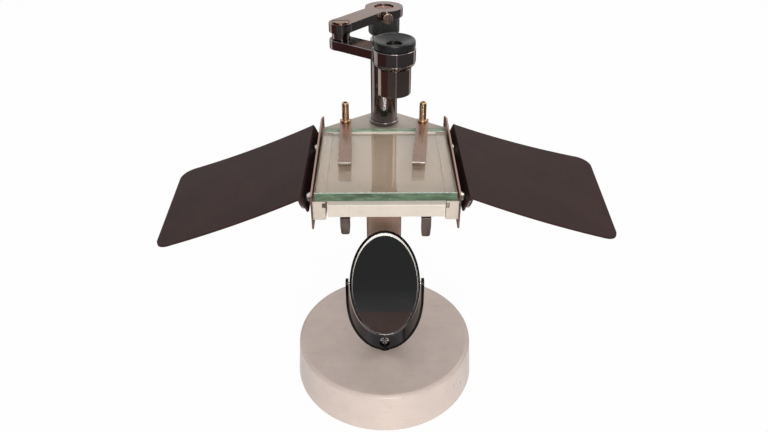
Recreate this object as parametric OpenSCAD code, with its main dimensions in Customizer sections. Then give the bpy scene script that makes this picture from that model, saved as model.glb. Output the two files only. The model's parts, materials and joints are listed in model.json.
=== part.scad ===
// Dissecting microscope: a glass stage on a column over a heavy round base, a jointed lens arm on
// a telescopic pillar, two hand rests hinged to the sides of the stage, and a mirror in a fork.
// Millimetres, +Z up, the front of the stage towards -Y, the base's centre on the Z axis.

/* [Base] */
// Radius of the base's top face
base_top_r = 73; // [66:1:85]
// Radius of the base at the floor
base_foot_r = 75.5; // [70:0.5:90]
// Height of the base
base_h = 36; // [30:1:50]
// Rounding of the base's upper edge
base_edge_r = 4; // [2:0.5:6]
// Depth of the bolt pockets in the base's underside
pocket_d = 14; // [8:1:18]

/* [Column] */
// Radius of the column
column_r = 15; // [13.5:0.5:17]
// Height of the column above the base
column_h = 160; // [140:1:190]
// Distance of the column's axis behind the base's centre
column_y = 53.2; // [48:0.1:54]
// Depth of the pillar's socket in the column
socket_d = 50; // [35:1:80]
// Depth of the hole for the mirror fork's screw in the base
fork_hole_d = 14; // [8:1:20]
// Radius of the column bolt
bolt_r = 5; // [3:0.5:6]
// Radius of the column bolt's head
bolt_head_r = 8; // [7:0.5:10]
// Height of the column bolt's head
bolt_head_h = 6; // [4:0.5:8]
// How far the column bolt reaches into the column
bolt_reach = 24; // [12:1:40]

/* [Stage] */
// Length of the straight rails of the stage frame
rail_l = 107; // [98:1:110]
// Distance of the frame's front face in front of the base's centre
stage_front = 65; // [60:1:70]
// Height of the stage frame
frame_h = 13.7; // [12:0.1:18]
// Half the clear width between the rails
rail_in = 38.5; // [34:0.5:40]
// Width of one rail
rail_w = 8; // [6:0.5:12]
// Depth of the solid web behind the opening
web_l = 15; // [12:1:20]
// Half the width of the frame's narrow rear end
tail_half = 12.5; // [10:0.5:18]
// How far the frame reaches behind the column's axis
tail_l = 15.8; // [15.4:0.1:20]
// Radius of the rear end's corners
tail_corner = 4; // [2:0.5:8]
// Width of the glass plate
glass_w = 90; // [84:1:92]
// Depth of the glass plate
glass_l = 92; // [85:1:92]
// Thickness of the glass plate
glass_t = 6.5; // [3:0.5:8]
// Thickness of the slide plate under the glass
slide_t = 3; // [2:0.5:4]
// Depth of the slide plate's grooves in the rails
groove_d = 2; // [1:0.5:3]
// Thickness of the lip above the grooves
groove_lip = 1.2; // [1:0.1:2]
// Thickness of the front bar
bar_t = 6; // [4:0.5:8]
// Height of the front bar
bar_h = 11.4; // [9:0.1:11.6]
// Width of the open slot at the bar's left end
bar_slot = 1.2; // [0.5:0.1:3]

/* [Under-stage springs] */
// Distance of each spring from the middle
spring_x = 26.3; // [20:0.1:32]
// Width of a spring
spring_w = 6.5; // [5:0.1:9]
// Thickness of a spring
spring_t = 1.2; // [0.8:0.1:1.6]
// Length of the left spring's turned-down front end
left_drop = 12.2; // [8:0.1:16]
// Length of the right spring's turned-down front end
right_drop = 14.3; // [8:0.1:16]

/* [Side plates] */
// Thickness of a side plate
side_t = 1.2; // [1:0.1:2]
// Height of a side plate's front end
side_h = 25; // [20:0.5:27]
// How far a side plate hangs below the frame at the front
side_drop = 6.5; // [3:0.5:10]
// Rise of a side plate's lower edge from front to back
side_rise = 7.5; // [0:0.5:10]
// Rise of a side plate's upper edge from front to back
side_top_rise = 5.5; // [0:0.5:8]
// Size of the bevel at a side plate's rear top corner
side_cut = 5; // [3:0.5:10]
// How far a side plate reaches behind the rails
side_back = 9; // [5:1:12]
// Height of the side plates' screws above the frame's underside
side_screw_up = 3.2; // [3:0.1:4]
// Distance of the front pair of side plate screws in front of the base's centre
side_screw_front = 16; // [12:1:17]
// Distance between the side plate screws of one side
side_screw_step = 16; // [10:1:18]

/* [Hand rests] */
// Radius of a hinge knuckle
knuckle_r = 1.5; // [1.4:0.1:1.8]
// Radius of a hinge pin
pin_r = 0.8; // [0.6:0.1:0.9]
// Height of the hinge axis above the frame's underside
hinge_up = 3.5; // [3:0.1:4.5]
// Gap between a knuckle and the side plate
hinge_gap = 0.2; // [0.2:0.05:0.5]
// Distance of the front hinge in front of the base's centre
hinge_front = 34; // [28:1:40]
// Distance of the rear hinge behind the base's centre
hinge_back = 31; // [27:1:33]
// Length of each hinge knuckle
knuckle_l = 7; // [5:0.5:9]
// Thickness of a hand rest's sheet
rest_t = 1.5; // [1:0.1:2]
// Length of a hand rest's slanted flange, from the hinge axis
flange_l = 12.7; // [12:0.1:16]
// Lean of the flange away from the side plate, in degrees
flange_lean = 23.9; // [18:0.1:28]
// Angle between the flange and the rest's sheet, in degrees
rest_bend = 89.8; // [85:0.1:100]
// Radius of the sheet's gentle curve
rest_curve = 790; // [500:10:2000]
// Length of the sheet along its curve
rest_l = 114; // [90:1:140]
// Depth of a hand rest along the stage
rest_w = 106; // [98:1:110]
// How much shorter the rest is at its front edge
rest_taper = 6.5; // [0:0.5:20]
// Radius of the rest's outer corners
rest_corner = 10; // [4:1:16]
// Tilt at rest of the left hand rest, in degrees
left_tilt = -1.4; // [-3:0.1:2]
// Tilt at rest of the right hand rest, in degrees
right_tilt = 2.2; // [-2:0.1:3]

/* [Thumbscrews] */
// Distance of the front thumbscrews in front of the base's centre
thumb_front = 54.5; // [51:0.5:58]
// Distance of the rear thumbscrews behind the base's centre
thumb_back = 13; // [8:1:14]
// Distance of the thumbscrews from the hinge axis
thumb_up = 5.6; // [5.4:0.1:6.5]
// Radius of a thumbscrew's head
thumb_r = 4.6; // [4:0.1:4.8]
// Thickness of a thumbscrew's head
thumb_t = 2.8; // [2:0.1:4]
// Radius of a thumbscrew's shank
thumb_shank = 1.5; // [1.2:0.1:1.8]
// Length of a thumbscrew's shank inside its boss
thumb_grip = 2.4; // [2:0.1:3]
// Play of a thumbscrew's shank in the flange
thumb_play = 0.6; // [0.5:0.1:0.8]
// Gap on each side of the flange for its tilt
tilt_gap = 1; // [1:0.1:1.4]
// Radius of the threaded bosses on the side plates
screw_boss_r = 4; // [3:0.1:4.2]

/* [Stage clips] */
// Distance of the clip posts from the middle
post_x = 29; // [24:0.5:31]
// Distance of the clip posts behind the glass
post_gap = 9; // [7:0.5:10]
// Radius of a clip post
post_r = 2.6; // [2:0.1:3]
// Height of the posts above the glass
post_h = 17; // [12:0.5:24]
// Radius of a post's collar
post_collar_r = 3.6; // [3.2:0.1:4.5]
// Width of a clip strip
clip_w = 8.8; // [7:0.1:10]
// Thickness of a clip strip
clip_t = 1; // [0.8:0.1:1.4]
// Reach of a clip strip from its post
clip_l = 68; // [50:1:72]
// Radius of the curled front end of a clip strip
clip_curl = 2.2; // [1.6:0.1:3]
// Turn of the left clip at rest, in degrees
left_turn = 1.5; // [0:0.5:4]
// Turn of the right clip at rest, in degrees
right_turn = -5.7; // [-7:0.1:0]

/* [Pillar] */
// Radius of the pillar tube
pillar_r = 10; // [9:0.1:11]
// Height of the pillar above the stage
pillar_h = 65.8; // [55:0.1:90]
// Radius of the pillar's foot ring
foot_r = 11.3; // [11.2:0.1:13]
// Height of the foot ring
foot_h = 3.2; // [2:0.1:6]
// Radius of the focusing rod
rod_r = 6.5; // [5.5:0.1:7]
// Length of the focusing rod inside the pillar and column
rod_in = 100; // [80:1:110]
// Radius of the pillar's neck inside the collar
neck_r = 8.5; // [7.9:0.1:8.6]
// Height of the pillar's neck inside the collar
neck_h = 7.5; // [5:0.5:9]
// Length of the bare neck below the collar
neck_bare = 4; // [1:0.5:8]
// Radius of the black collar
collar_r = 11.2; // [10.5:0.1:14]
// Height of the black collar
collar_h = 13.1; // [11:0.1:18]
// Rounding of the collar's edges
collar_edge = 2; // [1:0.1:2.4]

/* [Arms] */
// Thickness of the upper arm
upper_t = 5.9; // [5:0.1:8]
// Length of the upper arm between its axes
upper_l = 46.4; // [44:0.1:50]
// Direction of the upper arm from the pillar, in degrees
upper_dir = -128.9; // [-140:0.1:-110]
// Radius of the upper arm's ring
ring_r = 13.4; // [12.5:0.1:16]
// Width of both arms
arm_w = 15; // [12:0.1:16]
// Radius of the arms' ends at the elbow
elbow_r = 7.9; // [7.6:0.1:9]
// Radius of the screw pocket in the ring
cap_pocket_r = 6.9; // [6.4:0.1:8]
// Depth of the screw pocket in the ring
cap_pocket_d = 2.8; // [2:0.1:3.5]
// Radius of the rod's neck inside the ring
rod_neck_r = 5; // [4:0.1:5.4]
// Radius of the arm's cap screw head
cap_r = 6.3; // [5.8:0.1:6.6]
// Radius of the cap screw's shank
cap_shank_r = 2.5; // [2:0.1:3.2]
// How far the cap screw reaches into the rod
cap_reach = 12; // [8:1:20]
// Radius of the set screw's head
set_r = 3.6; // [2.5:0.1:4]
// Direction of the set screw, in degrees
set_dir = -80; // [-95:1:-65]
// Length of the set screw's head
set_head_l = 2.8; // [2:0.1:4]
// Gap between the arms at the elbow
elbow_gap = 5.1; // [3:0.1:8]
// Radius of the elbow spacer
spacer_r = 6; // [5:0.1:7]
// Radius of the screw head under the elbow
elbow_screw_r = 4.8; // [4.2:0.1:5.4]
// Depth of the screw's pocket under the elbow
elbow_pocket_d = 2.3; // [2:0.1:3]
// Grip of the elbow's screw in the pin
elbow_grip = 8; // [5:0.5:10]
// Radius of the elbow pin
elbow_pin_r = 3.5; // [2.8:0.1:4]
// Radius of the elbow pin's head
elbow_head_r = 6.2; // [5.5:0.1:7]
// Height of the elbow pin's head
elbow_head_h = 1; // [0.8:0.1:2]
// Thickness of the lower arm
lower_t = 6.3; // [5:0.1:8]
// Length of the lower arm between its axes
lower_l = 43.4; // [42:0.1:50]
// Direction of the lower arm from the elbow, in degrees
lower_dir = -36.2; // [-60:0.1:-20]
// Radius of the lens ring
lens_ring_r = 14; // [12.5:0.1:15]
// Height of the lens ring above the arm
ring_rise = 2.4; // [1:0.1:3]
// Radius of the nut under the lens ring
nut_r = 13.8; // [13.5:0.1:14]
// Height of the nut under the lens ring
nut_h = 3.4; // [3:0.1:6]
// Bevel of the nut's lower edge
nut_bevel = 2.5; // [1:0.1:2.7]

/* [Eyepiece] */
// Radius of the lens barrel
barrel_r = 11.2; // [11:0.1:12]
// Length of the barrel below the nut
barrel_l = 18; // [12:0.1:28]
// Radius of the barrel inside the lens ring
seat_r = 10.4; // [10.2:0.1:10.8]
// Radius of the barrel's inside
barrel_in = 7.8; // [6.5:0.1:8.2]
// Radius of the eyecup
cup_r = 13.7; // [12:0.1:15]
// Height of the eyecup
cup_h = 5.6; // [5.2:0.1:9]
// Radius of the hole in the eyecup
cup_hole_r = 5; // [4:0.1:6]
// Wall at the eyecup's rim
cup_rim = 1.2; // [0.8:0.1:2]
// Thickness of the eyecup's floor
cup_floor = 2.6; // [2:0.1:3.2]
// How deep the barrel's end sits in the eyecup
cup_seat_d = 1.6; // [1:0.1:1.8]
// Thickness of the lenses in the middle
lens_t = 3; // [2.6:0.1:4]
// Radius of the lenses' curved faces
lens_curve = 40; // [30:1:120]
// Length of the ring that holds the lower lens
retainer_h = 2; // [1:0.1:4]
// Width of the stop and of the ring that hold the lower lens
stop_w = 1.2; // [0.8:0.1:2]

/* [Mirror] */
// Distance of the mirror's swivel in front of the base's centre
fork_y = 17.5; // [10:0.1:24]
// Height of the mirror's pivot above the base
pivot_h = 68; // [62:0.1:80]
// Half width of the fork
fork_half = 30.7; // [29:0.1:36]
// Height of the fork's curved part
fork_arch = 54; // [40:1:58]
// Thickness of the fork's strip
fork_t = 2.2; // [1.8:0.1:2.4]
// Width of the fork's strip at the bottom
fork_w = 14; // [10:0.5:18]
// Width of the fork's strip at its tips
fork_tip_w = 8; // [6:0.5:10]
// Height of the foot disc under the fork
fork_foot_h = 2.3; // [1.5:0.1:5]
// Radius of the foot disc
fork_foot_r = 6; // [5:0.1:9]
// Radius of the fork screw
fork_screw_r = 2.5; // [2:0.1:3.5]
// Radius of the fork screw's head
fork_head_r = 3.8; // [3.6:0.1:5]
// Height of the flat pad under the fork screw's head
fork_pad_h = 0.8; // [0.8:0.1:1.5]
// Half width of the oval mirror cell
cell_a = 27.6; // [24:0.1:28]
// Half height of the oval mirror cell
cell_b = 41.3; // [34:0.1:44]
// Depth of the mirror cell
cell_d = 7; // [5.5:0.1:9]
// Width of the mirror cell's rim
cell_rim = 2; // [1.6:0.1:3.5]
// Bevel of the mirror cell's rim
cell_bevel = 1.2; // [0.6:0.1:1.6]
// Thickness of each mirror glass
mirror_t = 1.4; // [1:0.1:1.6]
// How deep each mirror glass lies below the rim
mirror_sink = 0.3; // [0.2:0.1:0.5]
// Lean of the mirror back from upright, in degrees
mirror_lean = 35; // [0:1:60]
// Radius of the mirror's pivot pins
pivot_r = 1.3; // [1:0.1:1.4]
// Length of a pivot pin inside the mirror cell
pivot_in = 5.5; // [4:0.1:7]

/* [Fits] */
// Radial clearance of a running fit
run_gap = 0.06; // [0.02:0.01:0.1]
// Gap between pieces that pass each other
pass_gap = 0.3; // [0.2:0.05:0.5]
// Radial clearance of a fixed screw or pin in its hole
fix_gap = 0.05; // [0.02:0.01:0.1]
// Radius of the small screws' shanks
screw_r = 1.5; // [1.2:0.1:1.8]
// Radius of the small screws' heads
screw_head_r = 2.6; // [2.3:0.1:2.7]
// Length of the small screws' grip
screw_grip = 5; // [3.5:0.1:5.2]
// Free end of a blind hole past its screw
hole_end = 0.5; // [0.3:0.1:1]

/* [Hidden] */
$fn = 64;
eps = 0.01;
// Gap between flat faces that turn on each other
face_gap = 0.1;

// Heights and places that follow from the sizes
stage_z = base_h + column_h;
top_z = stage_z + frame_h;
glass_z = top_z + glass_t;
rail_out = rail_in + rail_w;
frame_y0 = -stage_front;
rail_y1 = frame_y0 + rail_l;
web_y0 = rail_y1 - web_l;
glass_y1 = frame_y0 + glass_l;
slide_top = top_z - groove_lip - pass_gap;
slide_z = slide_top - slide_t;
side_x = rail_out + side_t;
side_screw_z = stage_z + side_screw_up;
side_screw_y = [-side_screw_front, -side_screw_front + side_screw_step];
hinge_x = side_x + knuckle_r + hinge_gap;
hinge_z = stage_z + hinge_up;
hinge_y = [-hinge_front, hinge_back];
thumb_y = [-thumb_front, thumb_back];
// How much smaller the tab of a rest's knuckle is than the sheet and knuckle, on each side
tab_inset = 0.1;
flange_off = knuckle_r - rest_t / 2 - tab_inset;
rest_y1 = frame_y0 + rest_w + 1;
pillar_top = top_z + pillar_h;
collar_z = pillar_top + neck_bare;
collar_top = collar_z + collar_h;
arm_z = collar_top + face_gap;
arm_top = arm_z + upper_t;
cap_seat = arm_top - cap_pocket_d;
elbow = [upper_l * cos(upper_dir), column_y + upper_l * sin(upper_dir)];
lens = [elbow[0] + lower_l * cos(lower_dir), elbow[1] + lower_l * sin(lower_dir)];
lower_top = arm_z - elbow_gap;
lower_z = lower_top - lower_t;
elbow_seat = lower_z + elbow_pocket_d;
nut_z = lower_z - run_gap - nut_h;
barrel_z = nut_z - barrel_l;
cup_z = lower_top + ring_rise;
barrel_top = cup_z + cup_seat_d;
post_y = glass_y1 + post_gap;
spring_screw_y = web_y0 + web_l / 3;
clip_z = glass_z + pass_gap;
fork_z = base_h + fork_foot_h;
pivot_z = base_h + pivot_h;
fork_top = pivot_z + fork_tip_w / 2 + 1;
fork_seat = fork_z + fork_t + fork_pad_h + run_gap;
// Height of the pivot above the fork's curved part
arm_up = pivot_z - fork_z - fork_arch;
beige = [0.72, 0.66, 0.60];
chrome = [0.75, 0.75, 0.77];
dark = [0.20, 0.16, 0.16];

// Helpers
module tube(ro, ri, h) {
    difference() {
        cylinder(r = ro, h = h);
        translate([0, 0, -1]) cylinder(r = ri, h = h + 2);
    }
}

// A disc whose upper and lower edges are rounded by radius e
module round_disc(r, h, e) {
    rotate_extrude() union() {
        square([r - e, h]);
        translate([0, e]) square([r, h - 2 * e]);
        translate([r - e, e]) circle(r = e, $fn = 24);
        translate([r - e, h - e]) circle(r = e, $fn = 24);
    }
}

// Points of an oval with half axes a and b
function oval(a, b, n = 72) = [for (i = [0 : n - 1]) [a * cos(360 * i / n), b * sin(360 * i / n)]];

// Points of a corner arc round c from angle a0 to a1
function corner(c, r, a0, a1, n = 8) =
    [for (i = [0 : n]) c + r * [cos(a0 + (a1 - a0) * i / n), sin(a0 + (a1 - a0) * i / n)]];

module base() color(beige) difference() {
    rotate_extrude($fn = 128) union() {
        polygon([[0, 0], [base_foot_r, 0], [base_top_r, base_h - base_edge_r],
            [base_top_r - base_edge_r, base_h], [0, base_h]]);
        translate([base_top_r - base_edge_r, base_h - base_edge_r]) circle(r = base_edge_r, $fn = 48);
    }
    translate([0, column_y, -1]) cylinder(r = bolt_r + fix_gap, h = base_h + 2);
    translate([0, column_y, -1]) cylinder(r = bolt_head_r + pass_gap, h = pocket_d + 1);
    translate([0, -fork_y, base_h - fork_hole_d])
        cylinder(r = fork_screw_r + fix_gap, h = fork_hole_d + 1);
}

module column() color(beige) translate([0, column_y, base_h]) difference() {
    cylinder(r = column_r, h = column_h);
    translate([0, 0, column_h - socket_d]) cylinder(r = pillar_r + fix_gap, h = socket_d + 1);
    translate([0, 0, -1]) cylinder(r = bolt_r + fix_gap, h = bolt_reach + 1 + hole_end);
}

module column_bolt() color(chrome) translate([0, column_y, pocket_d]) {
    translate([0, 0, -bolt_head_h]) cylinder(r = bolt_head_r, h = bolt_head_h, $fn = 6);
    translate([0, 0, -eps]) cylinder(r = bolt_r, h = base_h - pocket_d + bolt_reach + eps);
}

// Plan of the stage frame without its light opening
module frame_plan() polygon(concat(
    [[-rail_out, frame_y0], [rail_out, frame_y0], [rail_out, rail_y1]],
    corner([tail_half - tail_corner, column_y + tail_l - tail_corner], tail_corner, 50, 90),
    corner([tail_corner - tail_half, column_y + tail_l - tail_corner], tail_corner, 90, 130),
    [[-rail_out, rail_y1]]));

module stage_frame() color(beige) difference() {
    translate([0, 0, stage_z]) linear_extrude(frame_h) frame_plan();
    translate([-rail_in, frame_y0 - 1, stage_z - 1])
        cube([2 * rail_in, web_y0 - frame_y0 + 1, frame_h + 2]);
    translate([-rail_in - groove_d, frame_y0 - 1, slide_z - pass_gap])
        cube([2 * (rail_in + groove_d), web_y0 - frame_y0 + 1, slide_t + 2 * pass_gap]);
    translate([0, column_y, stage_z - 1]) cylinder(r = pillar_r + fix_gap, h = frame_h + 2);
    for (s = [-1, 1]) {
        translate([s * post_x, post_y, stage_z - 1]) cylinder(r = post_r + run_gap, h = frame_h + 2);
        translate([s * spring_x, spring_screw_y, stage_z - 1])
            cylinder(r = screw_r + fix_gap, h = 1 + screw_grip + hole_end, $fn = 32);
        for (y = side_screw_y)
            translate([s * (rail_out + 1), y, side_screw_z]) rotate([0, -s * 90, 0])
                cylinder(r = screw_r + fix_gap, h = 1 + screw_grip + hole_end, $fn = 32);
    }
}

module glass_plate() color([0.75, 0.85, 0.78, 0.6])
    translate([-glass_w / 2, frame_y0, top_z]) cube([glass_w, glass_l, glass_t]);

module slide_plate() color([0.80, 0.75, 0.66]) {
    translate([-rail_in - groove_d + pass_gap, frame_y0 + bar_t, slide_z])
        cube([2 * (rail_in + groove_d - pass_gap), web_y0 - pass_gap - frame_y0 - bar_t, slide_t]);
    // the tongue that fills the right groove beside the bar
    translate([rail_in, frame_y0, slide_z])
        cube([groove_d - pass_gap, 2 * bar_t, slide_t]);
}

module front_bar() color([0.86, 0.81, 0.74])
    translate([-rail_in + bar_slot, frame_y0, top_z - pass_gap - bar_h])
        cube([2 * rail_in - bar_slot - pass_gap, bar_t, bar_h]);

// One under-stage spring: a strip below the web whose front end is turned down by a length
module spring(drop) {
    x1 = spring_w / 2;
    end_r = 1.6;
    difference() {
        union() {
            translate([-x1, frame_y0 + 1, stage_z - spring_t])
                cube([spring_w, rail_y1 - 2 - frame_y0 - 1, spring_t]);
            translate([0, frame_y0 + 1 + spring_t, stage_z]) rotate([90, 0, 0])
                linear_extrude(spring_t) polygon(concat([[-x1, -eps], [-x1, -drop / 2]],
                    corner([end_r + 0.4 - x1, end_r - drop], end_r, 180, 270),
                    corner([x1 - end_r - 0.4, end_r - drop], end_r, 270, 360),
                    [[x1, -drop / 2], [x1, -eps]]));
        }
        translate([0, spring_screw_y, stage_z - spring_t - 1])
            cylinder(r = screw_r + fix_gap, h = spring_t + 2, $fn = 32);
    }
}

module under_spring_left() color(chrome) translate([-spring_x, 0, 0]) spring(left_drop);
module under_spring_right() color(chrome) translate([spring_x, 0, 0]) spring(right_drop);

// A slotted cheese-head screw that points down -Z from the origin, its head above
module slotted(r_head, h_head, r_shank, l_shank) {
    difference() {
        cylinder(r = r_head, h = h_head, $fn = 32);
        translate([-r_head - 1, -0.4, h_head - 0.6]) cube([2 * r_head + 2, 0.8, 1]);
    }
    translate([0, 0, -l_shank]) cylinder(r = r_shank, h = l_shank + eps, $fn = 24);
}

module spring_screws() color(chrome) for (s = [-1, 1])
    translate([s * spring_x, spring_screw_y, stage_z - spring_t]) mirror([0, 0, 1])
        slotted(screw_head_r, 1.6, screw_r, spring_t + screw_grip);

// Places on the right hand rest's flange, seen along Y from the hinge axis: s along the flange,
// off towards the stage
function flange_point(s, off) =
    [s * sin(flange_lean) - off * cos(flange_lean), s * cos(flange_lean) + off * sin(flange_lean)];
thumb_c = [hinge_x, hinge_z] + flange_point(thumb_up, flange_off);
boss_end = rest_t / 2 + tilt_gap;
side_y0 = frame_y0 - 1;
side_y1 = rail_y1 + side_back;
side_z0 = stage_z - side_drop;

// Places the children on the right side's screw axis: +Z outwards, the origin in the flange
module on_screw(y) translate([thumb_c[0], y, thumb_c[1]]) rotate([0, 90 + flange_lean, 0]) children();

// Right side plate with its hinge knuckles and two threaded bosses
module side_plate() difference() {
    union() {
        translate([rail_out, 0, 0]) rotate([90, 0, 90]) linear_extrude(side_t)
            polygon([[side_y0, side_z0], [side_y1, side_z0 + side_rise],
                [side_y1, side_z0 + side_h + side_top_rise - side_cut],
                [side_y1 - 3 * side_cut, side_z0 + side_h + side_top_rise],
                [side_y0, side_z0 + side_h]]);
        for (y = hinge_y) {
            translate([hinge_x, y - knuckle_l / 2, hinge_z]) rotate([-90, 0, 0])
                cylinder(r = knuckle_r, h = knuckle_l, $fn = 32);
            translate([side_x - eps, y - knuckle_l / 2, hinge_z - knuckle_r])
                cube([hinge_x - side_x, knuckle_l, knuckle_r]);
        }
        for (y = thumb_y) intersection() {
            on_screw(y) translate([0, 0, -12]) cylinder(r = screw_boss_r, h = 12 - boss_end);
            translate([side_x - eps, y - 10, hinge_z - 20]) cube([20, 20, 40]);
        }
    }
    for (y = hinge_y)
        translate([hinge_x, y - 20, hinge_z]) rotate([-90, 0, 0])
            cylinder(r = pin_r + fix_gap, h = 40, $fn = 32);
    for (y = thumb_y)
        on_screw(y) translate([0, 0, -14]) cylinder(r = thumb_shank + run_gap, h = 28, $fn = 32);
    for (y = side_screw_y)
        translate([rail_out - 1, y, side_screw_z]) rotate([0, 90, 0])
            cylinder(r = screw_r + fix_gap, h = side_t + 2, $fn = 32);
}

module side_plate_right() color(chrome) side_plate();
module side_plate_left() color(chrome) mirror([1, 0, 0]) side_plate();

module side_plate_screws() color(chrome) for (s = [-1, 1], y = side_screw_y)
    translate([s * side_x, y, side_screw_z]) rotate([0, s * 90, 0])
        slotted(screw_head_r, 0.9, screw_r, side_t + screw_grip);

module hinge_pins() for (y = hinge_y)
    translate([hinge_x, y - 1.5 * knuckle_l - pass_gap, hinge_z]) rotate([-90, 0, 0])
        cylinder(r = pin_r, h = 3 * knuckle_l + 2 * pass_gap, $fn = 32);

module hinge_pins_right() color(chrome) hinge_pins();
module hinge_pins_left() color(chrome) mirror([1, 0, 0]) hinge_pins();

// Direction of the rest's sheet where it leaves the flange, as a slope below level
sheet_dir = 90 - flange_lean - rest_bend;
function sheet_point(s, off) =
    let (a = sheet_dir + (s / rest_curve) * 57.29578,
         x = rest_curve * (sin(a) - sin(sheet_dir)),
         z = -rest_curve * (cos(a) - cos(sheet_dir)))
    [x - off * sin(a), z + off * cos(a)];

// Hand rest in its own frame: the hinge axis is the Y axis, the sheet runs towards +X
module rest_sheet() {
    n = 14;
    half = rest_t / 2;
    foot = knuckle_r + 0.6;
    top = flange_point(flange_l, flange_off);
    tip = sheet_point(rest_l, 0) + top;
    edge_dir = 360 - atan(rest_taper / rest_w);
    intersection() {
        translate([0, rest_y1 + 1, 0]) rotate([90, 0, 0]) linear_extrude(rest_w + 2) polygon(concat(
            [flange_point(foot, flange_off + half), flange_point(flange_l - 1, flange_off + half),
                top + [0, rest_t * 0.6]],
            [for (i = [0 : n]) top + sheet_point(2 + (rest_l - 2) * i / n, half)],
            [for (i = [n : -1 : 0]) top + sheet_point(2 + (rest_l - 2) * i / n, -half)],
            [flange_point(flange_l - 2, flange_off - half), flange_point(foot, flange_off - half)]));
        translate([0, 0, -rest_l]) linear_extrude(2 * rest_l) polygon(concat(
            [[-rest_corner, rest_y1 - rest_w]],
            corner([tip[0] - rest_taper - rest_corner, rest_y1 - rest_w + rest_corner],
                rest_corner, 270, edge_dir),
            corner([tip[0] - rest_corner, rest_y1 - rest_corner], rest_corner, edge_dir, 450),
            [[-rest_corner, rest_y1]]));
    }
}

module hand_rest() difference() {
    union() {
        rest_sheet();
        for (y = hinge_y, s = [-1, 1]) translate([0, y + s * (knuckle_l + pass_gap) - knuckle_l / 2, 0]) {
            rotate([-90, 0, 0]) cylinder(r = knuckle_r, h = knuckle_l, $fn = 32);
            rotate([0, flange_lean, 0]) translate([tab_inset - flange_off - rest_t / 2, tab_inset, 0])
                cube([rest_t - 2 * tab_inset, knuckle_l - 2 * tab_inset, knuckle_r + 1]);
        }
    }
    for (y = hinge_y)
        translate([0, y - 3 * knuckle_l, 0]) rotate([-90, 0, 0])
            cylinder(r = pin_r + run_gap, h = 6 * knuckle_l, $fn = 32);
    for (y = thumb_y)
        rotate([0, flange_lean, 0]) translate([-flange_off, y, thumb_up]) rotate([0, 90, 0])
            translate([0, 0, -2 * rest_t]) cylinder(r = thumb_shank + thumb_play, h = 4 * rest_t, $fn = 32);
}

module hand_rest_right() color(dark)
    translate([hinge_x, 0, hinge_z]) rotate([0, -right_tilt, 0]) hand_rest();
module hand_rest_left() color(dark) mirror([1, 0, 0])
    translate([hinge_x, 0, hinge_z]) rotate([0, -left_tilt, 0]) hand_rest();

// A knurled thumbscrew on the right side's screw axis
module thumbscrew(y) on_screw(y) {
    translate([0, 0, boss_end]) difference() {
        cylinder(r = thumb_r, h = thumb_t, $fn = 48);
        for (i = [0 : 23]) rotate([0, 0, 15 * i]) translate([thumb_r + 0.15, 0, -1])
            cylinder(r = 0.4, h = thumb_t + 2, $fn = 16);
    }
    translate([0, 0, -boss_end - thumb_grip])
        cylinder(r = thumb_shank, h = 2 * boss_end + thumb_grip + eps, $fn = 32);
}

module thumbscrew_front_right() color(chrome) thumbscrew(-thumb_front);
module thumbscrew_rear_right() color(chrome) thumbscrew(thumb_back);
module thumbscrew_front_left() color(chrome) mirror([1, 0, 0]) thumbscrew(-thumb_front);
module thumbscrew_rear_left() color(chrome) mirror([1, 0, 0]) thumbscrew(thumb_back);

// A clip post with its collar on the stage and a hollow in its top
module clip_post(x) translate([x, post_y, 0]) difference() {
    union() {
        translate([0, 0, stage_z + 2]) cylinder(r = post_r, h = glass_z + post_h - stage_z - 3, $fn = 48);
        translate([0, 0, glass_z + post_h - 1]) cylinder(r1 = post_r, r2 = post_r - 0.7, h = 1, $fn = 48);
        translate([0, 0, top_z + pass_gap])
            cylinder(r = post_collar_r, h = clip_z - top_z - pass_gap, $fn = 48);
        translate([0, 0, clip_z + clip_t]) cylinder(r = post_collar_r, h = 1.6, $fn = 48);
    }
    translate([0, 0, glass_z + post_h - 4]) cylinder(r = post_r - 1.2, h = 5, $fn = 32);
}

module clip_post_left() color([0.6, 0.45, 0.28]) clip_post(-post_x);
module clip_post_right() color([0.6, 0.45, 0.28]) clip_post(post_x);

// A clip strip in its own frame: the post on the Z axis, the strip towards -Y
module clip_strip() difference() {
    union() {
        translate([-clip_w / 2, -clip_l + 2, 0]) cube([clip_w, clip_l + 3, clip_t]);
        translate([-clip_w / 2, -clip_l + 2, clip_curl + clip_t]) rotate([0, 90, 0])
            linear_extrude(clip_w) difference() {
                intersection() {
                    circle(r = clip_curl + clip_t, $fn = 64);
                    polygon([[0, 0], [20, 0], [20, -20], [4, -20], [-1.2, -8]]);
                }
                circle(r = clip_curl, $fn = 64);
            }
    }
    translate([0, 0, -1]) cylinder(r = post_r + fix_gap, h = clip_t + 2, $fn = 48);
}

module clip_strip_left() color(chrome)
    translate([-post_x, post_y, clip_z]) rotate([0, 0, left_turn]) clip_strip();
module clip_strip_right() color(chrome)
    translate([post_x, post_y, clip_z]) rotate([0, 0, right_turn]) clip_strip();

module pillar() color(chrome) translate([0, column_y, 0]) difference() {
    union() {
        translate([0, 0, stage_z - socket_d + 1]) cylinder(r = pillar_r, h = pillar_top - stage_z + socket_d - 1);
        translate([0, 0, pillar_top - eps]) cylinder(r = neck_r, h = neck_bare + neck_h);
    }
    translate([0, 0, stage_z - socket_d]) cylinder(r = rod_r + run_gap, h = 300);
}

module pillar_foot_ring() color(chrome) translate([0, column_y, top_z]) difference() {
    round_disc(foot_r, foot_h, 0.6);
    translate([0, 0, -1]) cylinder(r = pillar_r + fix_gap, h = foot_h + 2);
}

module pillar_collar() color([0.08, 0.08, 0.08]) translate([0, column_y, collar_z + run_gap]) difference() {
    round_disc(collar_r, collar_h - run_gap, collar_edge);
    translate([0, 0, -1]) cylinder(r = neck_r + run_gap, h = neck_h + 1 + pass_gap);
    translate([0, 0, -1]) cylinder(r = rod_r + run_gap, h = 30);
}

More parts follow.
